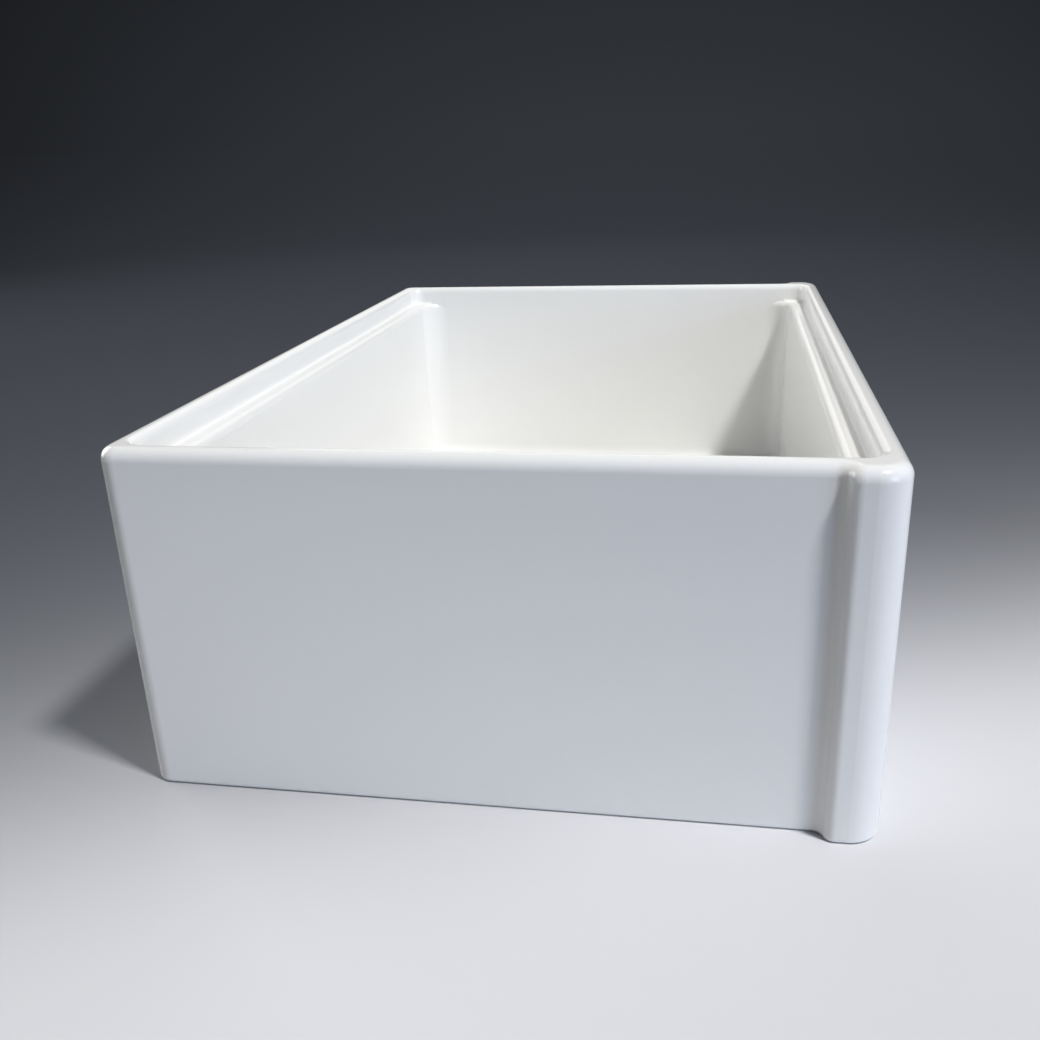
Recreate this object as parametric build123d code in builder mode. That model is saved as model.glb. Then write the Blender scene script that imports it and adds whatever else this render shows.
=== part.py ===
"""Farmhouse apron front sink: a one-piece fireclay bowl with its basket strainer waste.

Millimetres. +Z is up, the apron faces -Y and the length lies along X. The origin is the centre
of the sink's footprint, on the surface that the sink stands on.
"""
import os
from math import acos, degrees, radians, sin, tan

from build123d import *

os.makedirs("parts", exist_ok=True)

# ---- Sink: outside ----
overall_length = 744.0      # over the apron, end to end
overall_depth = 512.0       # front of the apron to the rear wall
overall_height = 254.0
apron_overhang = 10.5       # how far the apron stands past each end wall
apron_lip_depth = 29.5      # front of the apron to where its end starts to bend in
overhang_hollow = 8.0       # hollow radius where the apron meets the end wall
overhang_nose = 8.0         # round radius at the rear edge of the apron's end
apron_corner = 21.5
rear_corner = 14.0
rim_outer_round = 9.0
rim_inner_round = 6.5
foot_round = 3.0

# ---- Sink: bowl ----
rim_width = 16.0
ledge_drop = 19.0           # rim down to the workstation ledges
ledge_width = 16.0
ledge_cove = 3.0
lip_round = 6.0             # round where a ledge turns down into the bowl
well_corner = 14.0          # plan corners above the ledges
bowl_corner = 25.0          # plan corners below the ledges
wall_draft = 1.0            # degrees, so that the casting leaves its mould
floor_thickness = 38.0
floor_fillet = 15.0
floor_fall = 3.0            # fall of the bowl's floor from its edge to the waste
floor_margin = 2.0          # level band left round the falls

# ---- Sink: waste hole ----
waste_hole_radius = 45.0    # the usual 90 mm (3 1/2 inch) hole
surround_radius = 60.0      # level ring round the waste
surround_corner = 59.5      # just under its radius, so that the falls keep four faces
flange_recess_radius = 58.0
flange_recess_depth = 4.0
under_recess_radius = 75.0  # hollow under the sink that takes the lock nut
under_recess_height = 19.0
under_recess_round = 4.0
glaze_round = 1.2           # the small round that glaze leaves on the recess's edge
hidden_break = 1.0          # chamfer on the edges that the waste and the floor hide

# ---- Strainer body ----
gasket_thickness = 1.0
gasket_inner_radius = 46.5
gasket_outer_radius = 55.0
flange_radius = 56.5
flange_round = 1.5
thread_radius = 43.0        # outside of the cup, which carries the lock nut's thread
cup_radius = 41.0           # inside of the cup
seat_radius = 46.5          # step in the flange that the basket's rim drops into
seat_depth = 1.8
seat_break = 0.4
cup_floor = 10.0            # height of the inside of the cup's floor
cup_floor_thickness = 2.0
cup_fillet = 5.0
spigot_radius = 23.9        # 1 1/2 inch pipe thread
spigot_bore = 20.0
spigot_end = 1.5            # height of the spigot's lower end
edge_break = 0.6

# ---- Clamping stack under the sink ----
thread_clearance = 0.2
washer_thickness = 3.0
washer_radius = 57.0
slip_ring_thickness = 1.0
slip_ring_radius = 54.0
nut_height = 7.0
nut_radius = 49.0
lug_reach = 56.0
lug_width = 12.0
lug_height = 5.0
lug_round = 1.5
lug_count = 6

# ---- Outlet cross ----
arm_count = 4
arm_width = 3.0
hub_radius = 5.0
cross_bottom = 2.5
cross_height = 3.0

# ---- Basket ----
sheet = 1.0
running_gap = 0.1           # between faces that rest on each other and part in use
basket_rim_radius = 45.8
basket_top_radius = 40.3    # outside of the basket's wall under its rim
basket_floor_radius = 36.0  # outside of the basket's wall at its floor
basket_floor = 20.0         # height of the underside of the basket's floor
basket_bend = 2.5
hole_radius = 2.4
hole_rings = ((15.5, 6), (26.5, 12))  # radius and count of each ring of holes
slot_count = 8
slot_width = 3.0
slot_length = 6.5
slot_height = 27.5          # height of the middle of the slots in the wall

# ---- Guide bush in the basket's floor ----
bush_radius = 6.0
bush_height = 6.0
bush_flange_radius = 9.0
bush_flange_height = 1.2
post_clearance = 0.05
o_ring_radius = 0.9         # of its round section
o_ring_rise = 3.6           # its height above the underside of the bush

# ---- Plunger, pushed down so that its seal closes the outlet ----
post_radius = 3.0
post_bottom = 6.8
post_tip = 0.8
seal_radius = 26.0
seal_thickness = 3.0
seal_bevel = 1.2
backing_radius = 20.0
backing_thickness = 1.0
stop_nut_flats = 10.0
stop_nut_thickness = 3.0
knob_bottom = 27.0
knob_socket = 6.0           # how deep the post goes into the knob
knob_neck_radius = 5.0
knob_neck_top = 30.0
knob_radius = 12.0
knob_edge_bottom = 34.5
knob_edge_top = 36.5
knob_top = 39.0

# ---- Heights and half sizes that follow ----
end_x = overall_length / 2 - apron_overhang
tip_x = overall_length / 2
rear_y = overall_depth / 2
front_y = -rear_y
nose_y = front_y + apron_lip_depth
bend_radii = overhang_hollow + overhang_nose
bend_angle = degrees(acos(1 - apron_overhang / bend_radii))
hollow_y = nose_y + bend_radii * sin(radians(bend_angle))
slope = tan(radians(wall_draft))
ledge_z = overall_height - ledge_drop
lip_z = ledge_z - lip_round
well_x = end_x - rim_width - slope * ledge_drop  # inside of the end walls at the ledges
well_y = rear_y - rim_width - slope * ledge_drop
bowl_y = well_y - ledge_width
bowl_depth = ledge_z - floor_thickness
draft_shift = slope * bowl_depth
surround_z = floor_thickness - floor_fall
flange_seat_z = surround_z - flange_recess_depth
flange_bottom = flange_seat_z + gasket_thickness
seat_z = surround_z - seat_depth
washer_bottom = under_recess_height - washer_thickness
slip_ring_bottom = washer_bottom - slip_ring_thickness
lock_nut_bottom = slip_ring_bottom - nut_height
cup_bottom = cup_floor - cup_floor_thickness
thread_bore = thread_radius + thread_clearance
basket_rim_z = seat_z + running_gap
seal_bottom = cup_floor + running_gap
backing_bottom = seal_bottom + seal_thickness
stop_nut_bottom = seal_bottom - stop_nut_thickness
cut_past = 20.0             # how far a cutter runs past the face that it opens


def save(builder, name):
    """Labels a finished piece and writes it to its STEP file."""
    builder.part.label = name
    export_step(builder.part, f"parts/{name}.step")


def ring_edges(builder, radius, height):
    """The circular edges of a turned form with this radius at this height."""
    circles = builder.edges().filter_by(GeomType.CIRCLE)
    level = circles.filter_by_position(Axis.Z, height - 0.01, height + 0.01)
    return level.filter_by(lambda edge: abs(edge.radius - radius) < 0.01)


# ======== Cutters for the bowl ========
# Above the ledges: a rounded well with a small cove where its wall meets the ledges.
with BuildPart() as well_cutter:
    with BuildSketch(Plane.XY.offset(ledge_z)):
        RectangleRounded(2 * well_x, 2 * well_y, well_corner)
    extrude(amount=ledge_drop + cut_past, taper=-wall_draft)
    fillet(well_cutter.edges().group_by(Axis.Z)[0], radius=ledge_cove)

# Below the ledges: a narrower bowl. Each end wall is one flush face from the rim to the floor.
with BuildPart() as bowl_cutter:
    with BuildSketch(Plane.XY.offset(ledge_z)):
        RectangleRounded(2 * well_x, 2 * bowl_y, bowl_corner)
    extrude(amount=-bowl_depth, taper=wall_draft)
    fillet(bowl_cutter.edges().group_by(Axis.Z)[0], radius=floor_fillet)
    with BuildSketch(Plane.XY.offset(ledge_z)):
        RectangleRounded(2 * well_x, 2 * bowl_y, bowl_corner)
    extrude(amount=ledge_drop + cut_past, taper=-wall_draft)

# The ledges' lip is rounded on a free ring, so that the round can die into the end walls.
ring_spread = 2 * lip_round
with BuildPart() as lip_ring:
    with BuildSketch(Plane.XY.offset(ledge_z - ring_spread)):
        RectangleRounded(2 * (well_x + ring_spread), 2 * (bowl_y + ring_spread), bowl_corner + ring_spread)
        RectangleRounded(2 * well_x, 2 * bowl_y, bowl_corner, mode=Mode.SUBTRACT)
    extrude(amount=ring_spread)
    fillet(lip_ring.faces().sort_by(Axis.Z)[-1].inner_wires()[0].edges(), radius=lip_round)

with BuildPart() as lip_cutter:
    with BuildSketch(Plane.XY.offset(lip_z)):
        RectangleRounded(2 * (well_x + lip_round), 2 * (bowl_y + lip_round), bowl_corner + lip_round)
    extrude(amount=lip_round + ledge_drop + cut_past)
    add(lip_ring.part, mode=Mode.SUBTRACT)
    with BuildSketch(Plane.XY.offset(lip_z)):
        RectangleRounded(2 * (well_x - slope * lip_round), 2 * (well_y - slope * lip_round), well_corner)
    extrude(amount=lip_round + ledge_drop + cut_past, taper=-wall_draft, mode=Mode.INTERSECT)

# The floor falls from a level band at its edge to a level ring round the waste.
floor_inset = draft_shift + floor_fillet + floor_margin
with BuildPart() as floor_cutter:
    with BuildSketch(Plane.XY.offset(floor_thickness)):
        RectangleRounded(2 * (well_x - floor_inset), 2 * (bowl_y - floor_inset), bowl_corner - floor_inset)
    with BuildSketch(Plane.XY.offset(surround_z)):
        RectangleRounded(2 * surround_radius, 2 * surround_radius, surround_corner)
    loft(ruled=True)

# ======== Sink ========
with BuildPart() as sink_body:
    with BuildSketch():
        with BuildLine():
            Line((0, rear_y), (end_x - rear_corner, rear_y))
            CenterArc((end_x - rear_corner, rear_y - rear_corner), rear_corner, 90, -90)
            Line((end_x, rear_y - rear_corner), (end_x, hollow_y))
            CenterArc((end_x + overhang_hollow, hollow_y), overhang_hollow, 180, bend_angle)
            CenterArc((tip_x - overhang_nose, nose_y), overhang_nose, bend_angle, -bend_angle)
            Line((tip_x, nose_y), (tip_x, front_y + apron_corner))
            CenterArc((tip_x - apron_corner, front_y + apron_corner), apron_corner, 0, -90)
            Line((tip_x - apron_corner, front_y), (0, front_y))
            mirror(about=Plane.YZ)
        make_face()
    extrude(amount=overall_height)
    fillet(sink_body.edges().group_by(Axis.Z)[0], radius=foot_round)
    fillet(sink_body.edges().group_by(Axis.Z)[-1], radius=rim_outer_round)
    add(well_cutter.part, mode=Mode.SUBTRACT)
    add(bowl_cutter.part, mode=Mode.SUBTRACT)
    add(lip_cutter.part, mode=Mode.SUBTRACT)
    fillet(sink_body.faces().sort_by(Axis.Z)[-1].inner_wires()[0].edges(), radius=rim_inner_round)
    add(floor_cutter.part, mode=Mode.SUBTRACT)
    with Locations((0, 0, surround_z)):
        CounterBoreHole(waste_hole_radius, flange_recess_radius, flange_recess_depth)
    with BuildSketch():
        Circle(under_recess_radius)
    extrude(amount=under_recess_height, mode=Mode.SUBTRACT)
    fillet(ring_edges(sink_body, under_recess_radius, under_recess_height), radius=under_recess_round)
    fillet(ring_edges(sink_body, flange_recess_radius, surround_z), radius=glaze_round)
    chamfer(ring_edges(sink_body, under_recess_radius, 0), length=hidden_break)
    chamfer(ring_edges(sink_body, waste_hole_radius, flange_seat_z), length=hidden_break)
    chamfer(ring_edges(sink_body, waste_hole_radius, under_recess_height), length=hidden_break)
save(sink_body, "sink_body")

# ======== Strainer body and what clamps it in the waste hole ========
with BuildPart() as flange_gasket:
    with BuildSketch(Plane.XY.offset(flange_seat_z)):
        Circle(gasket_outer_radius)
        Circle(gasket_inner_radius, mode=Mode.SUBTRACT)
    extrude(amount=gasket_thickness)
save(flange_gasket, "flange_gasket")

with BuildPart() as strainer_body:
    with BuildSketch(Plane.XZ):
        with BuildLine():
            Polyline(
                (spigot_bore, spigot_end),
                (spigot_radius, spigot_end),
                (spigot_radius, cup_bottom),
                (thread_radius, cup_bottom),
                (thread_radius, flange_bottom),
                (flange_radius, flange_bottom),
                (flange_radius, surround_z),
                (seat_radius, surround_z),
                (seat_radius, seat_z),
                (cup_radius, seat_z),
                (cup_radius, cup_floor),
                (spigot_bore, cup_floor),
                close=True,
            )
        make_face()
    revolve(axis=Axis.Z)
    fillet(ring_edges(strainer_body, flange_radius, surround_z), radius=flange_round)
    fillet(ring_edges(strainer_body, cup_radius, cup_floor), radius=cup_fillet)
    chamfer(ring_edges(strainer_body, seat_radius, surround_z), length=seat_break)
    chamfer(ring_edges(strainer_body, cup_radius, seat_z), length=seat_break)
    chamfer(ring_edges(strainer_body, spigot_bore, cup_floor), length=edge_break)
    chamfer(ring_edges(strainer_body, thread_radius, cup_bottom), length=edge_break)
    chamfer(ring_edges(strainer_body, spigot_radius, spigot_end), length=edge_break)
save(strainer_body, "strainer_body")

with BuildPart() as outlet_cross:
    with BuildSketch(Plane.XY.offset(cross_bottom)):
        Circle(hub_radius)
        # A bar right across the bore makes two arms.
        with PolarLocations(0, arm_count // 2, angular_range=180):
            Rectangle(2 * spigot_bore + cut_past, arm_width)
        Circle(spigot_bore, mode=Mode.INTERSECT)
    extrude(amount=cross_height)
save(outlet_cross, "outlet_cross")

with BuildPart() as rubber_washer:
    with BuildSketch(Plane.XY.offset(washer_bottom)):
        Circle(washer_radius)
        Circle(thread_bore, mode=Mode.SUBTRACT)
    extrude(amount=washer_thickness)
    chamfer(ring_edges(rubber_washer, washer_radius, washer_bottom), length=edge_break)
save(rubber_washer, "rubber_washer")

with BuildPart() as slip_ring:
    with BuildSketch(Plane.XY.offset(slip_ring_bottom)):
        Circle(slip_ring_radius)
        Circle(thread_bore, mode=Mode.SUBTRACT)
    extrude(amount=slip_ring_thickness)
save(slip_ring, "slip_ring")

with BuildPart() as lock_nut:
    with BuildSketch(Plane.XY.offset(lock_nut_bottom)):
        Circle(nut_radius)
        Circle(thread_bore, mode=Mode.SUBTRACT)
    extrude(amount=nut_height)
    chamfer(ring_edges(lock_nut, nut_radius, lock_nut_bottom), length=edge_break)
    with BuildSketch(Plane.XY.offset(slip_ring_bottom)):
        # A bar right across the nut makes two lugs.
        with PolarLocations(0, lug_count // 2, angular_range=180):
            RectangleRounded(2 * lug_reach, lug_width, lug_round)
        Circle(nut_radius - lug_round, mode=Mode.SUBTRACT)
    extrude(amount=-lug_height)
save(lock_nut, "lock_nut")

# ======== Basket ========
with BuildPart() as slot_cutter:
    with BuildSketch(Plane.YZ.offset(basket_floor_radius - basket_bend)):
        with Locations((0, slot_height)):
            SlotOverall(slot_length, slot_width, rotation=90)
    extrude(amount=basket_rim_radius - basket_floor_radius)

with BuildPart() as basket_cup:
    with BuildSketch(Plane.XZ):
        with BuildLine():
            Polyline(
                (0, basket_floor),
                (basket_floor_radius, basket_floor),
                (basket_top_radius, basket_rim_z),
                (basket_rim_radius, basket_rim_z),
                (basket_rim_radius, basket_rim_z + sheet),
                (basket_top_radius - sheet, basket_rim_z + sheet),
                (basket_floor_radius - sheet, basket_floor + sheet),
                (0, basket_floor + sheet),
                close=True,
            )
        make_face()
    revolve(axis=Axis.Z)
    fillet(ring_edges(basket_cup, basket_floor_radius, basket_floor), radius=basket_bend)
    inner_bend = ring_edges(basket_cup, basket_floor_radius - sheet, basket_floor + sheet)
    fillet(inner_bend, radius=basket_bend - sheet)
    fillet(ring_edges(basket_cup, basket_top_radius - sheet, basket_rim_z + sheet), radius=sheet)
    with Locations((0, 0, basket_floor + sheet)):
        Hole(bush_radius)
        for ring_radius, hole_count in hole_rings:
            with PolarLocations(ring_radius, hole_count):
                Hole(hole_radius)
    with PolarLocations(0, slot_count):
        add(slot_cutter.part, mode=Mode.SUBTRACT)
save(basket_cup, "basket_cup")

post_bore = post_radius + post_clearance
o_ring_z = basket_floor + o_ring_rise
groove_depth = 2 * (o_ring_radius + post_clearance)
with BuildPart() as guide_bush:
    with BuildSketch(Plane.XY.offset(basket_floor)):
        Circle(bush_radius)
    extrude(amount=bush_height)
    with BuildSketch(Plane.XY.offset(basket_floor + sheet)):
        Circle(bush_flange_radius)
    extrude(amount=bush_flange_height)
    chamfer(ring_edges(guide_bush, bush_radius, basket_floor + bush_height), length=edge_break)
    with BuildSketch(Plane.XY.offset(basket_floor)):
        Circle(post_bore)
    extrude(amount=bush_height, mode=Mode.SUBTRACT)
    with BuildSketch(Plane.XY.offset(o_ring_z)):
        Circle(post_bore + groove_depth)
    extrude(amount=groove_depth / 2, both=True, mode=Mode.SUBTRACT)
save(guide_bush, "guide_bush")

with BuildPart() as bush_o_ring:
    with BuildSketch(Plane.XZ):
        with Locations((post_bore + o_ring_radius, o_ring_z)):
            Circle(o_ring_radius)
    revolve(axis=Axis.Z)
save(bush_o_ring, "bush_o_ring")

# ======== Plunger ========
with BuildPart() as plunger_post:
    with BuildSketch(Plane.XY.offset(post_bottom)):
        Circle(post_radius)
    extrude(amount=knob_bottom + knob_socket - post_bottom)
    chamfer(ring_edges(plunger_post, post_radius, post_bottom), length=post_tip)
save(plunger_post, "plunger_post")

with BuildPart() as plunger_knob:
    with BuildSketch(Plane.XZ):
        with BuildLine():
            Polyline((0, knob_top), (0, knob_bottom), (knob_neck_radius, knob_bottom),
                     (knob_neck_radius, knob_neck_top))
            TangentArc((knob_neck_radius, knob_neck_top), (knob_radius, knob_edge_bottom), tangent=(0, 1))
            Line((knob_radius, knob_edge_bottom), (knob_radius, knob_edge_top))
            TangentArc((0, knob_top), (knob_radius, knob_edge_top), tangent=(1, 0))
        make_face()
    revolve(axis=Axis.Z)
    chamfer(ring_edges(plunger_knob, knob_radius, knob_edge_bottom), length=edge_break)
    chamfer(ring_edges(plunger_knob, knob_radius, knob_edge_top), length=edge_break)
    with BuildSketch(Plane.XY.offset(knob_bottom)):
        Circle(post_radius)
    extrude(amount=knob_socket, mode=Mode.SUBTRACT)
save(plunger_knob, "plunger_knob")

with BuildPart() as backing_plate:
    with BuildSketch(Plane.XY.offset(backing_bottom)):
        Circle(backing_radius)
        Circle(post_radius, mode=Mode.SUBTRACT)
    extrude(amount=backing_thickness)
save(backing_plate, "backing_plate")

with BuildPart() as stopper_seal:
    with BuildSketch(Plane.XY.offset(seal_bottom)):
        Circle(seal_radius)
        Circle(post_radius, mode=Mode.SUBTRACT)
    extrude(amount=seal_thickness)
    chamfer(ring_edges(stopper_seal, seal_radius, seal_bottom + seal_thickness), length=seal_bevel)
save(stopper_seal, "stopper_seal")

with BuildPart() as stop_nut:
    with BuildSketch(Plane.XY.offset(stop_nut_bottom)):
        RegularPolygon(stop_nut_flats / 2, 6, major_radius=False)
        Circle(post_radius, mode=Mode.SUBTRACT)
    extrude(amount=stop_nut_thickness)
save(stop_nut, "stop_nut")
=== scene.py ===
"""A white fireclay apron front sink and its basket strainer waste, dressed for a studio.

Everything is in metres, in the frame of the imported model: +X runs along the sink, the apron
faces -Y, +Z is up, and the origin is the centre of the footprint on the floor. The waste's axis
is the line x = y = 0.
"""
from __future__ import annotations

import logging
import math
from dataclasses import dataclass
from enum import Enum
from typing import Any

import bpy
from mathutils import Euler, Matrix, Vector

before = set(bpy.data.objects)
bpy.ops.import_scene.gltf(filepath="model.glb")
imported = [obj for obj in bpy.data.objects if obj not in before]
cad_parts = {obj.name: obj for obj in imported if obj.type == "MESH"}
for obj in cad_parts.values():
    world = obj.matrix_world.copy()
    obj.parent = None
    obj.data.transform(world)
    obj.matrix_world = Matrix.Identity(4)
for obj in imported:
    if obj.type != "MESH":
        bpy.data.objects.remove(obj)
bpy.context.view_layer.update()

log = logging.getLogger("sink")
MM = 0.001

# What can feed a node's input: a socket, or a node for its first output.
Source = bpy.types.NodeSocket | bpy.types.Node


# ======== Colours and shader nodes ========
def linear(hex_colour: str) -> tuple[float, float, float, float]:
    """Turns an sRGB hex colour into the linear values that a shader takes.

    Args:
        hex_colour: The colour as "#RRGGBB".

    Returns:
        Red, green, blue and an alpha of 1.
    """
    channels = []
    for start in (1, 3, 5):
        value = int(hex_colour[start:start + 2], 16) / 255
        # The sRGB curve is a straight line near black and a power above it.
        channels.append(value / 12.92 if value <= 0.04045 else ((value + 0.055) / 1.055) ** 2.4)
    return (channels[0], channels[1], channels[2], 1.0)


def add_node(tree: bpy.types.NodeTree, kind: str, settings: dict[str, Any] | None = None,
             values: dict[Any, Any] | None = None,
             links: dict[Any, Source] | None = None) -> bpy.types.Node:
    """Adds one node with its settings and links.

    Args:
        tree: The tree that gets the node.
        kind: The node's type, without the leading "ShaderNode".
        settings: Properties of the node by name.
        values: Values of input sockets, by the socket's name or number.
        links: What feeds an input, by the input's name or number.

    Returns:
        The new node.
    """
    node = tree.nodes.new("ShaderNode" + kind)
    for name, value in (settings or {}).items():
        setattr(node, name, value)
    for name, value in (values or {}).items():
        node.inputs[name].default_value = value
    for name, source in (links or {}).items():
        output = source.outputs[0] if isinstance(source, bpy.types.Node) else source
        tree.links.new(output, node.inputs[name])
    return node


def mottle(tree: bpy.types.NodeTree, place: Source, grain: float, tones: tuple[str, str],
           detail: float) -> tuple[bpy.types.Node, bpy.types.NodeSocket]:
    """Adds a noise pattern and the colour that it mottles between two tones.

    Args:
        tree: The tree that gets the nodes.
        place: The vector to read the pattern at, in metres.
        grain: The size of the pattern's coarsest patches in metres.
        tones: The sRGB hex colours where the noise is low and where it is high.
        detail: How many finer layers of noise lie over the patches.

    Returns:
        The noise node, and the mottled colour.
    """
    noise = add_node(tree, "TexNoise", values={"Scale": 1 / grain, "Detail": detail},
                     links={"Vector": place})
    colour = add_node(tree, "Mix", {"data_type": "RGBA"},
                      {"A": linear(tones[0]), "B": linear(tones[1])}, {"Factor": noise})
    return noise, colour.outputs["Result"]


def off_axis(tree: bpy.types.NodeTree,
             place: Source) -> tuple[bpy.types.Node, bpy.types.NodeSocket]:
    """Drops a place's height and measures how far it is from the waste's axis.

    Args:
        tree: The tree that gets the nodes.
        place: The place in the sink's frame.

    Returns:
        A node that gives the place at height 0, and the distance from the axis.
    """
    flat = add_node(tree, "VectorMath", {"operation": "MULTIPLY"}, {1: (1.0, 1.0, 0.0)}, {0: place})
    reach = add_node(tree, "VectorMath", {"operation": "LENGTH"}, links={0: flat})
    return flat, reach.outputs["Value"]


def round_axis(tree: bpy.types.NodeTree, place: Source, turn_size: float) -> bpy.types.Node:
    """Turns a place into a vector where a pattern runs round the waste's axis without a seam.

    Args:
        tree: The tree that gets the nodes.
        place: The place in the sink's frame.
        turn_size: How many metres one radian about the axis counts for. The smaller it is, the
            longer the pattern is drawn out round the axis.

    Returns:
        A node that gives the vector to read a pattern at.
    """
    flat, reach = off_axis(tree, place)
    height = add_node(tree, "SeparateXYZ", links={0: place}).outputs["Z"]
    way = add_node(tree, "VectorMath", {"operation": "NORMALIZE"}, links={0: flat})
    turn = add_node(tree, "VectorMath", {"operation": "SCALE"}, {"Scale": turn_size}, {0: way})
    profile = add_node(tree, "Math", {"operation": "ADD"}, links={0: reach, 1: height})
    across = add_node(tree, "CombineXYZ", links={"Z": profile})
    return add_node(tree, "VectorMath", {"operation": "ADD"}, links={0: turn, 1: across})


# ======== Finishes ========
@dataclass(frozen=True)
class Finish:
    """A real material and how its surface was made."""

    name: str = ""

    def surface(self, tree: bpy.types.NodeTree, place: bpy.types.NodeSocket) -> bpy.types.Node:
        """Adds the finish's nodes.

        Args:
            tree: The material's tree.
            place: The place in the sink's frame.

        Returns:
            The last node, whose first output is the shader.
        """
        raise NotImplementedError

    def material(self) -> bpy.types.Material:
        """Finds or makes the finish's material, which every piece that has it shares.

        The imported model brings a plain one-colour material for each of its slots, and one that
        has the finish's name is found first and used as it is. That is so for glazed_fireclay,
        cast_zinc, white_acetal, black_rubber and grey_rubber: their surface methods don't run,
        and their pieces show the plain materials.

        Returns:
            The material.
        """
        made = bpy.data.materials.get(self.name)
        if made:
            return made
        made = bpy.data.materials.new(self.name)
        made.use_nodes = True
        tree = made.node_tree
        tree.nodes.clear()
        place = add_node(tree, "TexCoord").outputs["Object"]
        add_node(tree, "OutputMaterial", links={"Surface": self.surface(tree, place)})
        return made

    def dress(self, piece: bpy.types.Object) -> None:
        """Gives a piece this finish all over."""
        piece.data.materials.clear()
        piece.data.materials.append(self.material())


@dataclass(frozen=True)
class GlazedFireclay(Finish):
    """White opaque glaze over fired clay, sprayed on and fused at about 1200 degrees.

    The glaze gives a deep wet gloss over a body that is very slightly uneven: long soft waves
    left by fettling the cast clay, and a faint ripple from the spray. A few burnt specks of the
    clay show through it. It is wiped off the foot and kept out of the waste hole before firing,
    so these are bare buff clay, gritty with grog and without any gloss.

    Not drawn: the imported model's plain material of the same name is used, as Finish.material says.
    """

    name: str = "glazed_fireclay"
    ior: float = 1.5

    # The glaze: it is a little greener where it pooled in the waves.
    glaze: str = "#E8E7E4"
    pooled: str = "#E5E6E3"
    wave_length: float = 90 * MM
    wave_depth: float = 0.10 * MM
    ripple_length: float = 7 * MM
    ripple_depth: float = 0.004 * MM
    under_roughness: float = 0.1
    gloss_roughness: float = 0.01

    # The specks: each has an even core, as a share of its radius, and fades from there out.
    speck: str = "#CFC8BB"
    speck_spacing: float = 28 * MM
    speck_radius: float = 0.35 * MM
    speck_core: float = 0.4

    # The bare clay: on the foot, up to a line that the sponge left uneven, and round the waste
    # hole, up to hole_top above the floor that the sink stands on.
    bare_clay: str = "#C9B99F"
    grog: str = "#A8967C"
    grog_size: float = 1.2 * MM
    grog_depth: float = 0.08 * MM
    clay_roughness: float = 0.88
    wiped_to: float = 1.7 * MM
    wiped_wobble: float = 1.2 * MM
    wobble_length: float = 18 * MM
    hole_reach: float = 76 * MM
    hole_top: float = 30 * MM

    def surface(self, tree: bpy.types.NodeTree, place: bpy.types.NodeSocket) -> bpy.types.Node:
        """Adds the glaze, the bare clay and the line between them."""
        return add_node(tree, "MixShader", links={0: self._bare(tree, place),
                                                  1: self._glazed(tree, place),
                                                  2: self._clay(tree, place)})

    def _glazed(self, tree: bpy.types.NodeTree, place: bpy.types.NodeSocket) -> bpy.types.Node:
        """Adds the glaze's colour, specks, waves and gloss.

        Args:
            tree: The material's tree.
            place: The place in the sink's frame.

        Returns:
            The glaze's shader.
        """
        drift, white = mottle(tree, place, self.wave_length, (self.glaze, self.pooled), detail=2.0)
        cells = add_node(tree, "TexVoronoi", values={"Scale": 1 / self.speck_spacing},
                         links={"Vector": place})
        edge = self.speck_radius / self.speck_spacing
        speck = add_node(tree, "MapRange",
                         values={"From Min": edge, "From Max": edge * self.speck_core},
                         links={"Value": cells.outputs["Distance"]})
        colour = add_node(tree, "Mix", {"data_type": "RGBA"}, {"B": linear(self.speck)},
                          {"Factor": speck, "A": white})
        waves = add_node(tree, "Bump", values={"Distance": self.wave_depth}, links={"Height": drift})
        spray = add_node(tree, "TexNoise", values={"Scale": 1 / self.ripple_length, "Detail": 1.0},
                         links={"Vector": place})
        ripple = add_node(tree, "Bump", values={"Distance": self.ripple_depth},
                          links={"Height": spray, "Normal": waves})
        return add_node(tree, "BsdfPrincipled",
                        values={"Roughness": self.under_roughness, "IOR": self.ior, "Coat Weight": 1.0,
                                "Coat Roughness": self.gloss_roughness, "Coat IOR": self.ior},
                        links={"Base Color": colour.outputs["Result"], "Normal": ripple,
                               "Coat Normal": ripple})

    def _clay(self, tree: bpy.types.NodeTree, place: bpy.types.NodeSocket) -> bpy.types.Node:
        """Adds the gritty bare clay.

        Args:
            tree: The material's tree.
            place: The place in the sink's frame.

        Returns:
            The clay's shader.
        """
        grit, buff = mottle(tree, place, self.grog_size, (self.bare_clay, self.grog), detail=4.0)
        rough = add_node(tree, "Bump", values={"Distance": self.grog_depth}, links={"Height": grit})
        return add_node(tree, "BsdfPrincipled",
                        values={"Roughness": self.clay_roughness, "IOR": self.ior},
                        links={"Base Color": buff, "Normal": rough})

    def _bare(self, tree: bpy.types.NodeTree, place: bpy.types.NodeSocket) -> bpy.types.Node:
        """Finds where the clay is bare.

        Args:
            tree: The material's tree.
            place: The place in the sink's frame.

        Returns:
            A node that gives 1 on the wiped foot and round the waste hole, and 0 on the glaze.
        """
        height = add_node(tree, "SeparateXYZ", links={0: place}).outputs["Z"]
        sponge = add_node(tree, "TexNoise", values={"Scale": 1 / self.wobble_length},
                          links={"Vector": place})
        raised = add_node(tree, "Math", {"operation": "MULTIPLY_ADD"}, {1: self.wiped_wobble},
                          {0: sponge, 2: height})
        foot = add_node(tree, "Math", {"operation": "LESS_THAN"}, {1: self.wiped_to}, {0: raised})
        near = add_node(tree, "Math", {"operation": "LESS_THAN"}, {1: self.hole_reach},
                        {0: off_axis(tree, place)[1]})
        low = add_node(tree, "Math", {"operation": "LESS_THAN"}, {1: self.hole_top}, {0: height})
        hole = add_node(tree, "Math", {"operation": "MULTIPLY"}, links={0: near, 1: low})
        return add_node(tree, "Math", {"operation": "MAXIMUM"}, links={0: foot, 1: hole})


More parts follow.
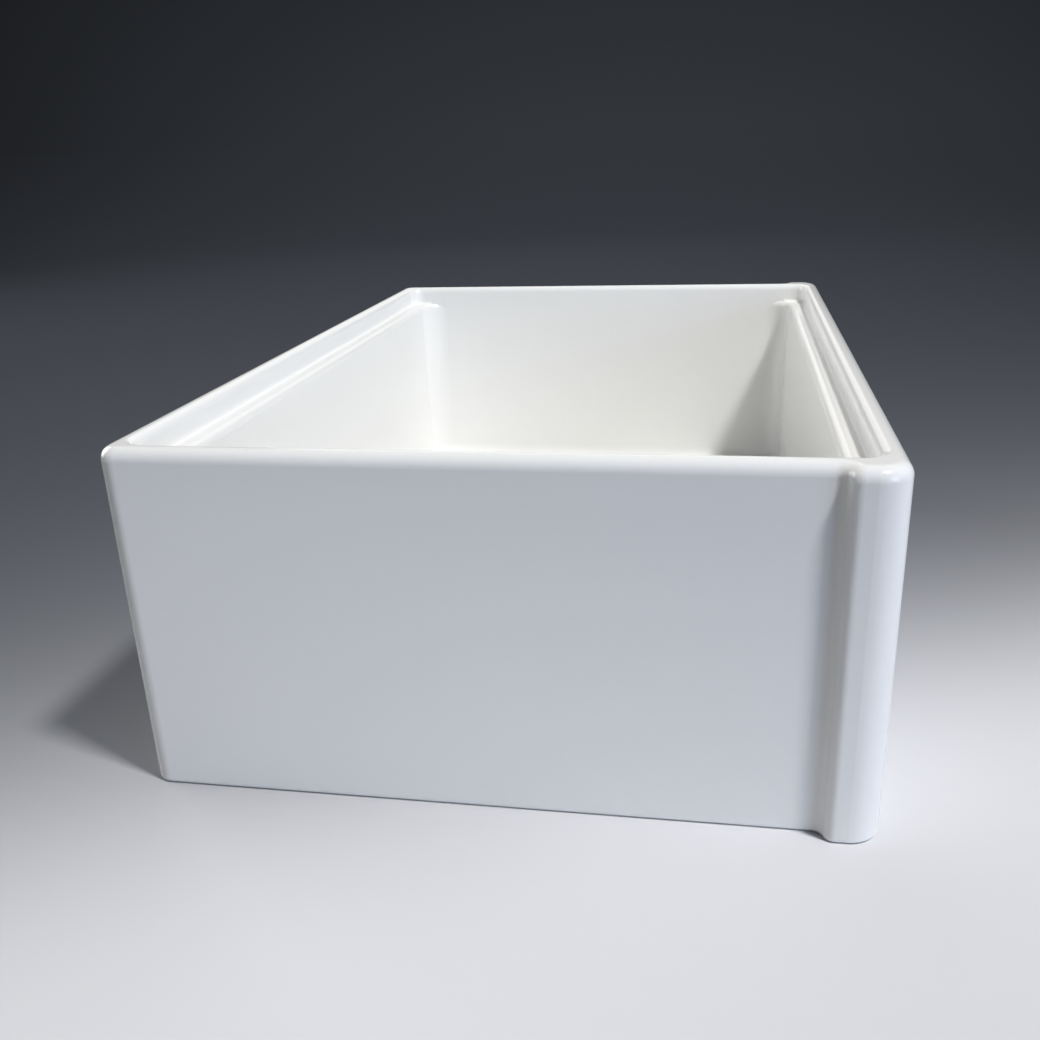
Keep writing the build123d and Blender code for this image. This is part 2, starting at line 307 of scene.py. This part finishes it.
@dataclass(frozen=True)
class BrushedStainless(Finish):
    """Pressed 18/10 stainless steel, brushed by turning the piece against an abrasive pad.

    The scratches run round the axis, so a highlight spreads into a fan across them. The pad's
    real scratches are a few hundredths of a millimetre wide and are drawn coarser to show.
    """

    name: str = "brushed_stainless"
    steel: str = "#C6C5C2"
    shade: str = "#B4B3B0"
    scratch_width: float = 0.25 * MM
    scratch_depth: float = 0.0015 * MM
    turn_size: float = 0.5 * MM
    roughness: float = 0.26
    anisotropy: float = 0.55

    def surface(self, tree: bpy.types.NodeTree, place: bpy.types.NodeSocket) -> bpy.types.Node:
        """Adds scratches that are long round the axis and short across it.

        Args:
            tree: The material's tree.
            place: The place in the sink's frame.

        Returns:
            The steel's shader.
        """
        lines, colour = mottle(tree, round_axis(tree, place, self.turn_size), self.scratch_width,
                               (self.shade, self.steel), detail=1.0)
        scratched = add_node(tree, "Bump", values={"Distance": self.scratch_depth},
                             links={"Height": lines})
        along = add_node(tree, "Tangent", {"direction_type": "RADIAL", "axis": "Z"})
        return add_node(tree, "BsdfPrincipled",
                        values={"Metallic": 1.0, "Roughness": self.roughness,
                                "Anisotropic": self.anisotropy},
                        links={"Base Color": colour, "Normal": scratched, "Tangent": along})


@dataclass(frozen=True)
class PolishedStainless(Finish):
    """Turned stainless steel, buffed on a soft wheel to a near mirror.

    What the wheel leaves is a faint haze, and hairlines that only show beside a highlight. They
    are drawn coarser than the real ones to show.
    """

    name: str = "polished_stainless"
    steel: str = "#D6D5D2"
    haze: str = "#CBCAC7"
    hairline_width: float = 0.6 * MM
    hairline_depth: float = 0.0004 * MM
    turn_size: float = 0.3 * MM
    roughness: float = 0.09

    def surface(self, tree: bpy.types.NodeTree, place: bpy.types.NodeSocket) -> bpy.types.Node:
        """Adds the haze and the hairlines.

        Args:
            tree: The material's tree.
            place: The place in the sink's frame.

        Returns:
            The steel's shader.
        """
        lines, colour = mottle(tree, round_axis(tree, place, self.turn_size), self.hairline_width,
                               (self.haze, self.steel), detail=4.0)
        buffed = add_node(tree, "Bump", values={"Distance": self.hairline_depth},
                          links={"Height": lines})
        return add_node(tree, "BsdfPrincipled",
                        values={"Metallic": 1.0, "Roughness": self.roughness},
                        links={"Base Color": colour, "Normal": buffed})


@dataclass(frozen=True)
class CastZinc(Finish):
    """Pressure die-cast zinc alloy, tumbled and left bare.

    It is a duller, bluer grey than steel, with the mottled skin that the flow into the die
    leaves.

    Not drawn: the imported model's plain material of the same name is used, as Finish.material says.
    """

    name: str = "cast_zinc"
    zinc: str = "#A9ACAE"
    dull: str = "#8E9193"
    flow_size: float = 3 * MM
    # The stretch of the flow's noise over which the roughness rises, and the roughness there.
    flow_range: tuple[float, float] = (0.3, 0.7)
    roughness: tuple[float, float] = (0.36, 0.52)
    skin_grain: float = 0.5 * MM
    skin_depth: float = 0.025 * MM

    def surface(self, tree: bpy.types.NodeTree, place: bpy.types.NodeSocket) -> bpy.types.Node:
        """Adds the mottling, which also varies the gloss, and the fine cast skin.

        Args:
            tree: The material's tree.
            place: The place in the sink's frame.

        Returns:
            The zinc's shader.
        """
        flow, colour = mottle(tree, place, self.flow_size, (self.zinc, self.dull), detail=3.0)
        gloss = add_node(tree, "MapRange",
                         values={"From Min": self.flow_range[0], "From Max": self.flow_range[1],
                                 "To Min": self.roughness[0], "To Max": self.roughness[1]},
                         links={"Value": flow})
        grain = add_node(tree, "TexNoise", values={"Scale": 1 / self.skin_grain, "Detail": 3.0},
                         links={"Vector": place})
        cast = add_node(tree, "Bump", values={"Distance": self.skin_depth}, links={"Height": grain})
        return add_node(tree, "BsdfPrincipled", values={"Metallic": 1.0},
                        links={"Base Color": colour, "Roughness": gloss, "Normal": cast})


@dataclass(frozen=True)
class MouldedRubber(Finish):
    """Moulded rubber with the fine matt skin of a spark-eroded mould.

    A trace of bloom lightens it in soft patches. The mould's real grain is under a tenth of a
    millimetre and is made coarser here.

    Not drawn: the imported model's plain material of the same name is used, as Finish.material says.
    """

    name: str = "black_rubber"
    rubber: str = "#1B1B1D"
    bloom: str = "#29292B"
    bloom_size: float = 9 * MM
    skin_grain: float = 0.5 * MM
    skin_depth: float = 0.02 * MM
    roughness: float = 0.62
    ior: float = 1.52

    def surface(self, tree: bpy.types.NodeTree, place: bpy.types.NodeSocket) -> bpy.types.Node:
        """Adds the bloom and a fine even grain that breaks up the highlight.

        Args:
            tree: The material's tree.
            place: The place in the sink's frame.

        Returns:
            The rubber's shader.
        """
        colour = mottle(tree, place, self.bloom_size, (self.rubber, self.bloom), detail=4.0)[1]
        grain = add_node(tree, "TexNoise", values={"Scale": 1 / self.skin_grain, "Detail": 4.0},
                         links={"Vector": place})
        skin = add_node(tree, "Bump", values={"Distance": self.skin_depth}, links={"Height": grain})
        return add_node(tree, "BsdfPrincipled", values={"Roughness": self.roughness, "IOR": self.ior},
                        links={"Base Color": colour, "Normal": skin})


@dataclass(frozen=True)
class PressedFibre(Finish):
    """Red-brown vulcanised fibre, pressed in sheets and stamped to a ring.

    Long fibres lie in the sheet and give it a matt, felted look. They are drawn coarser than
    the real ones, which are a few hundredths of a millimetre wide, to show.
    """

    name: str = "pressed_fibre"
    fibre: str = "#8A4632"
    dark: str = "#6A3224"
    fibre_width: float = 0.4 * MM
    fibre_length: float = 2.4 * MM
    fibre_depth: float = 0.03 * MM
    roughness: float = 0.85
    ior: float = 1.5

    def surface(self, tree: bpy.types.NodeTree, place: bpy.types.NodeSocket) -> bpy.types.Node:
        """Adds fibres that lie along X.

        Args:
            tree: The material's tree.
            place: The place in the sink's frame.

        Returns:
            The fibre's shader.
        """
        laid = add_node(tree, "Mapping", {"vector_type": "TEXTURE"},
                        {"Scale": (self.fibre_length / self.fibre_width, 1.0, 1.0)},
                        {"Vector": place})
        felt, colour = mottle(tree, laid, self.fibre_width, (self.dark, self.fibre), detail=5.0)
        pressed = add_node(tree, "Bump", values={"Distance": self.fibre_depth},
                           links={"Height": felt})
        return add_node(tree, "BsdfPrincipled", values={"Roughness": self.roughness, "IOR": self.ior},
                        links={"Base Color": colour, "Normal": pressed})


@dataclass(frozen=True)
class MouldedAcetal(Finish):
    """White acetal, injection moulded.

    It is a little waxy and milky at its edges, with a satin skin, whose grain is made coarser
    than the real one here.

    Not drawn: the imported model's plain material of the same name is used, as Finish.material says.
    """

    name: str = "white_acetal"
    acetal: str = "#E4E3DE"
    milky: str = "#DAD9D3"
    cloud_size: float = 4 * MM
    skin_grain: float = 0.3 * MM
    skin_depth: float = 0.004 * MM
    roughness: float = 0.34
    ior: float = 1.48
    milkiness: float = 0.2
    light_depth: float = 0.6 * MM

    def surface(self, tree: bpy.types.NodeTree, place: bpy.types.NodeSocket) -> bpy.types.Node:
        """Adds faint clouding, the light that enters the plastic, and the mould's skin.

        Args:
            tree: The material's tree.
            place: The place in the sink's frame.

        Returns:
            The acetal's shader.
        """
        colour = mottle(tree, place, self.cloud_size, (self.acetal, self.milky), detail=2.0)[1]
        grain = add_node(tree, "TexNoise", values={"Scale": 1 / self.skin_grain, "Detail": 3.0},
                         links={"Vector": place})
        satin = add_node(tree, "Bump", values={"Distance": self.skin_depth}, links={"Height": grain})
        return add_node(tree, "BsdfPrincipled",
                        values={"Roughness": self.roughness, "IOR": self.ior,
                                "Subsurface Weight": self.milkiness,
                                "Subsurface Scale": self.light_depth},
                        links={"Base Color": colour, "Normal": satin})


# ======== Sub-assemblies ========
def dress_nodes(finishes: dict[str, Finish]) -> list[bpy.types.Object]:
    """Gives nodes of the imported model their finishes.

    Args:
        finishes: The finish of each node, by the node's name.

    Returns:
        The dressed pieces.
    """
    for node, finish in finishes.items():
        finish.dress(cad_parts[node])
    return [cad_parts[node] for node in finishes]


@dataclass
class SinkCasting:
    """The one-piece fireclay casting."""

    glaze: Finish = GlazedFireclay()

    def build(self) -> list[bpy.types.Object]:
        """Dresses the casting and returns it."""
        return dress_nodes({"sink_body": self.glaze})


@dataclass
class StrainerWaste:
    """The strainer body and the stack that clamps it in the waste hole."""

    steel: Finish = BrushedStainless()
    gasket: Finish = MouldedRubber("grey_rubber", rubber="#55565A", bloom="#626367")
    washer: Finish = MouldedRubber()
    fibre: Finish = PressedFibre()
    zinc: Finish = CastZinc()

    def build(self) -> list[bpy.types.Object]:
        """Dresses the strainer body and its clamping stack and returns them."""
        return dress_nodes({"strainer_body": self.steel, "outlet_cross": self.steel,
                            "flange_gasket": self.gasket, "rubber_washer": self.washer,
                            "slip_ring": self.fibre, "lock_nut": self.zinc})


@dataclass
class Basket:
    """The basket that lifts out, with its guide bush."""

    steel: Finish = BrushedStainless()
    acetal: Finish = MouldedAcetal()
    ring: Finish = MouldedRubber()

    def build(self) -> list[bpy.types.Object]:
        """Dresses the basket, its bush and the bush's O-ring and returns them."""
        return dress_nodes({"basket_cup": self.steel, "guide_bush": self.acetal,
                            "bush_o_ring": self.ring})


@dataclass
class Plunger:
    """The push-down plunger that closes the outlet."""

    steel: Finish = BrushedStainless()
    polished: Finish = PolishedStainless()
    seal: Finish = MouldedRubber()

    def build(self) -> list[bpy.types.Object]:
        """Dresses the plunger's pieces and returns them."""
        return dress_nodes({"plunger_post": self.steel, "plunger_knob": self.polished,
                            "backing_plate": self.steel, "stopper_seal": self.seal,
                            "stop_nut": self.steel})


# ======== Studio ========
def seen_rays(tree: bpy.types.NodeTree) -> bpy.types.Node:
    """Tells what the camera sees, directly or in a mirror or glass, from soft light.

    Args:
        tree: The tree that gets the nodes.

    Returns:
        A node that gives 1 for camera, glossy and transmission rays, and 0 for the rest.
    """
    rays = add_node(tree, "LightPath").outputs
    seen = add_node(tree, "Math", {"operation": "MAXIMUM"},
                    links={0: rays["Is Camera Ray"], 1: rays["Is Glossy Ray"]})
    return add_node(tree, "Math", {"operation": "MAXIMUM"},
                    links={0: seen, 1: rays["Is Transmission Ray"]})


def painted_side_shade(tree: bpy.types.NodeTree, way: Source) -> bpy.types.Node:
    """Paints shade on the backdrop towards both sides, where no lamp reaches it.

    Args:
        tree: The tree that gets the nodes.
        way: A direction of unit length.

    Returns:
        A node that gives 1 straight behind the sink and falls to the sides.
    """
    middle = 0.08
    falloff = -2.25
    least = 0.3
    sideways = add_node(tree, "SeparateXYZ", links={0: way}).outputs["Y"]
    aside = add_node(tree, "Math", {"operation": "SUBTRACT"}, {1: middle}, {0: sideways})
    square = add_node(tree, "Math", {"operation": "MULTIPLY"}, links={0: aside, 1: aside})
    shade = add_node(tree, "Math", {"operation": "MULTIPLY_ADD"}, {1: falloff, 2: 1.0}, {0: square})
    return add_node(tree, "Math", {"operation": "MAXIMUM"}, {1: least}, {0: shade})


@dataclass(frozen=True)
class PaperFloor(Finish):
    """A pale paper floor with a long painted pool of light, and painted slate shade and glow beyond
    it.

    What the camera sees is a little paler than what lights the sink from below.
    """

    name: str = "paper_floor"
    paper: str = "#DEDEE1"
    bounce: str = "#D8D8DA"

    # The painted pool of light is an ellipse, with its turn in degrees and half its length each way.
    # Its edge is the softer, the lower the power that it fades by.
    pool: tuple[float, float, float] = (-0.32, -0.50, 0.0)
    pool_turn: float = 26.0
    pool_reach: tuple[float, float, float] = (0.31, 2.16, 1.0)
    pool_edge: float = 3.2

    # Outside the pool, painted shade: slate grey fading with the distance from a point, to half at
    # slate_reach.
    near_painted_shade: str = "#5F636B"
    slate_from: tuple[float, float, float] = (-0.3, 0.0, 0.0)
    slate_reach: float = 0.6

    # Outside the pool the floor glows with painted light, with painted shade to the sides as seen from
    # this point.
    far_painted_glow: str = "#32353A"
    sides_from: tuple[float, float, float] = (-2.0, 0.0, 0.0)

    def surface(self, tree: bpy.types.NodeTree, place: bpy.types.NodeSocket) -> bpy.types.Node:
        """Adds the floor that the lamps light, with a painted pool of light, and outside it painted
        shade and the backdrop's painted glow.

        Args:
            tree: The material's tree.
            place: The place in the sink's frame.

        Returns:
            The floor's shader.
        """
        # Painted pool of light: the paper's colour inside it, the painted slate shade outside.
        painted_lit_share = self._inside_painted_light(tree, place)
        paper = add_node(tree, "Mix", {"data_type": "RGBA"},
                         {"A": linear(self.bounce), "B": linear(self.paper)},
                         {"Factor": seen_rays(tree)})
        colour = add_node(tree, "Mix", {"data_type": "RGBA"},
                          links={"Factor": painted_lit_share, "A": self._painted_shade_colour(tree, place),
                                 "B": paper.outputs["Result"]})
        lit = add_node(tree, "BsdfDiffuse", links={"Color": colour.outputs["Result"]})
        # Outside the pool the floor glows with painted light, with painted shade towards the sides.
        aside = add_node(tree, "VectorMath", {"operation": "SUBTRACT"}, {1: self.sides_from},
                         {0: place})
        way = add_node(tree, "VectorMath", {"operation": "NORMALIZE"}, links={0: aside})
        outside = add_node(tree, "Math", {"operation": "SUBTRACT"}, {0: 1.0}, {1: painted_lit_share})
        level = add_node(tree, "Math", {"operation": "MULTIPLY"},
                         links={0: painted_side_shade(tree, way), 1: outside})
        glow = add_node(tree, "Emission", values={"Color": linear(self.far_painted_glow)},
                        links={"Strength": level})
        return add_node(tree, "AddShader", links={0: lit, 1: glow})

    def _inside_painted_light(self, tree: bpy.types.NodeTree, place: bpy.types.NodeSocket) -> bpy.types.Node:
        """Finds how far a place is inside the painted pool of light.

        Args:
            tree: The material's tree.
            place: The place in the sink's frame.

        Returns:
            A node that gives 1 in the middle of the pool, a half at its edge, and 0 far outside.
        """
        pool = add_node(tree, "Mapping", {"vector_type": "TEXTURE"},
                        {"Location": self.pool, "Rotation": (0.0, 0.0, math.radians(self.pool_turn)),
                         "Scale": self.pool_reach}, {"Vector": place})
        away = add_node(tree, "VectorMath", {"operation": "LENGTH"}, links={0: pool})
        steep = add_node(tree, "Math", {"operation": "POWER"}, {1: self.pool_edge},
                         {0: away.outputs["Value"]})
        over = add_node(tree, "Math", {"operation": "ADD"}, {1: 1.0}, {0: steep})
        return add_node(tree, "Math", {"operation": "DIVIDE"}, {0: 1.0}, {1: over})

    def _painted_shade_colour(self, tree: bpy.types.NodeTree, place: bpy.types.NodeSocket) -> bpy.types.NodeSocket:
        """Adds the painted shade of the floor outside the pool, which is black far away.

        Args:
            tree: The material's tree.
            place: The place in the sink's frame.

        Returns:
            The colour.
        """
        # Painted shade: slate grey near slate_from, darker with the distance, black far away.
        beyond = add_node(tree, "VectorMath", {"operation": "DISTANCE"}, {1: self.slate_from},
                          {0: place})
        slow = add_node(tree, "Math", {"operation": "MULTIPLY_ADD"}, {1: 1 / self.slate_reach, 2: 1.0},
                        {0: beyond.outputs["Value"]})
        painted_fade = add_node(tree, "Math", {"operation": "DIVIDE"}, {0: 1.0}, {1: slow})
        slate = add_node(tree, "Mix", {"data_type": "RGBA"},
                         {"A": linear("#000000"), "B": linear(self.near_painted_shade)},
                         {"Factor": painted_fade})
        return slate.outputs["Result"]


class LightUse(Enum):
    """What a studio light is for."""

    KEY = "key"
    FILL = "fill"
    BACK = "back"
    RIM = "rim"


@dataclass(frozen=True)
class SoftBox:
    """A square area light that faces a point."""

    use: LightUse
    place: tuple[float, float, float]
    width: float
    watts: float
    colour: str = "#FFFFFF"
    aim: tuple[float, float, float] = (0.0, 0.0, 0.12)

    def build(self) -> None:
        """Adds the light."""
        data = bpy.data.lights.new(self.use.value, "AREA")
        data.shape = "SQUARE"
        data.size = self.width
        data.energy = self.watts
        data.color = linear(self.colour)[:3]
        lamp = bpy.data.objects.new(self.use.value, data)
        lamp.location = self.place
        towards = Vector(self.aim) - Vector(self.place)
        lamp.rotation_euler = towards.to_track_quat("-Z", "Y").to_euler()
        bpy.context.scene.collection.objects.link(lamp)


@dataclass
class Studio:
    """Floor, backdrop and lights."""

    floor_width: float = 120.0
    ambience: str = "#E4E6EA"
    ambience_level: float = 0.05

    # What is seen or mirrored above the floor. A height is the upward part of a direction of
    # unit length: the slate darkens up to dark_above, a painted shade, and turns to the ceiling over
    # ceiling_rise.
    horizon: str = "#32353A"
    overhead: str = "#15171A"
    dark_above: float = 0.35
    ceiling: str = "#9DA0A5"
    ceiling_rise: tuple[float, float] = (0.5, 0.85)

    lights: tuple[SoftBox, ...] = (
        # Small and high over the apron's side, for the crisp edges and the shadow behind the sink.
        SoftBox(LightUse.KEY, place=(-1.5, -2.45, 5.2), width=0.6, watts=284.0, colour="#FFFEFC"),
        # Cool and low on the same side, for the end wall and the apron.
        SoftBox(LightUse.FILL, place=(-2.1, -2.6, 0.85), width=1.4, watts=29.0, colour="#BCD5FF"),
        # Behind the sink, for its rear wall and the inside of the apron.
        SoftBox(LightUse.BACK, place=(0.9, 2.9, 1.1), width=2.0, watts=52.0),
        # Beyond the far end: the rim and the ledges mirror it as a pale line.
        SoftBox(LightUse.RIM, place=(2.9, 0.6, 1.5), width=2.0, watts=12.0),
    )

    def build(self) -> None:
        """Adds the floor, the world and the lights."""
        bpy.ops.mesh.primitive_plane_add(size=self.floor_width)
        floor = bpy.context.object
        floor.name = "studio_floor"
        PaperFloor().dress(floor)
        self._world()
        for light in self.lights:
            light.build()

    def _world(self) -> None:
        """Makes soft ambient light, and the slate and ceiling that are seen or mirrored."""
        world = bpy.data.worlds.new("studio")
        world.use_nodes = True
        tree = world.node_tree
        tree.nodes.clear()
        way = add_node(tree, "TexCoord").outputs["Generated"]
        height = add_node(tree, "SeparateXYZ", links={0: way}).outputs["Z"]
        # Painted shade: the backdrop darkens upwards.
        dusk = add_node(tree, "MapRange", values={"From Max": self.dark_above},
                        links={"Value": height})
        slate = add_node(tree, "Mix", {"data_type": "RGBA"},
                         {"A": linear(self.horizon), "B": linear(self.overhead)}, {"Factor": dusk})
        above = add_node(tree, "MapRange", values={"From Min": self.ceiling_rise[0],
                                                   "From Max": self.ceiling_rise[1]},
                         links={"Value": height})
        room = add_node(tree, "Mix", {"data_type": "RGBA"}, {"B": linear(self.ceiling)},
                        {"Factor": above, "A": slate.outputs["Result"]})
        # The seen backdrop gets painted shade towards both sides.
        seen = add_node(tree, "Background", links={"Color": room.outputs["Result"],
                                                   "Strength": painted_side_shade(tree, way)})
        soft = add_node(tree, "Background", values={"Color": linear(self.ambience),
                                                    "Strength": self.ambience_level})
        both = add_node(tree, "MixShader", links={0: seen_rays(tree), 1: soft, 2: seen})
        add_node(tree, "OutputWorld", links={"Surface": both})
        bpy.context.scene.world = world


@dataclass
class PhotoCamera:
    """The camera that was fitted to the photograph's edges.

    Angles are in degrees, and a yaw of 0 looks along +X. Pixels are those of the photograph.
    """

    place: tuple[float, float, float] = (-0.951932, -0.143234, 0.438150)
    yaw: float = 10.647
    pitch: float = 21.084
    roll: float = 2.117
    focal_pixels: float = 1044.766
    axis_pixel: tuple[float, float] = (530.448, 531.129)
    frame_pixels: float = 1040.0
    sensor_mm: float = 36.0

    def build(self) -> None:
        """Adds the camera and makes it the scene's."""
        data = bpy.data.cameras.new("photo_camera")
        data.sensor_width = self.sensor_mm
        data.lens = self.sensor_mm * self.focal_pixels / self.frame_pixels
        centre = self.frame_pixels / 2
        data.shift_x = (centre - self.axis_pixel[0]) / self.frame_pixels
        data.shift_y = (self.axis_pixel[1] - centre) / self.frame_pixels
        camera = bpy.data.objects.new("photo_camera", data)
        heading = Euler((math.radians(90 - self.pitch), 0, math.radians(self.yaw - 90))).to_matrix()
        turned = heading @ Matrix.Rotation(-math.radians(self.roll), 3, "Z")
        camera.matrix_world = Matrix.Translation(self.place) @ turned.to_4x4()
        bpy.context.scene.collection.objects.link(camera)
        bpy.context.scene.camera = camera


def main() -> None:
    """Builds the sub-assemblies, the studio and the camera in order."""
    logging.basicConfig(level=logging.INFO, format="%(message)s")
    bpy.context.scene.view_settings.view_transform = "Standard"
    for assembly in (SinkCasting(), StrainerWaste(), Basket(), Plunger()):
        for piece in assembly.build():
            log.info("%s: %s, %d faces", type(assembly).__name__, piece.name,
                     len(piece.data.polygons))
    Studio().build()
    PhotoCamera().build()


if __name__ == "__main__":
    main()
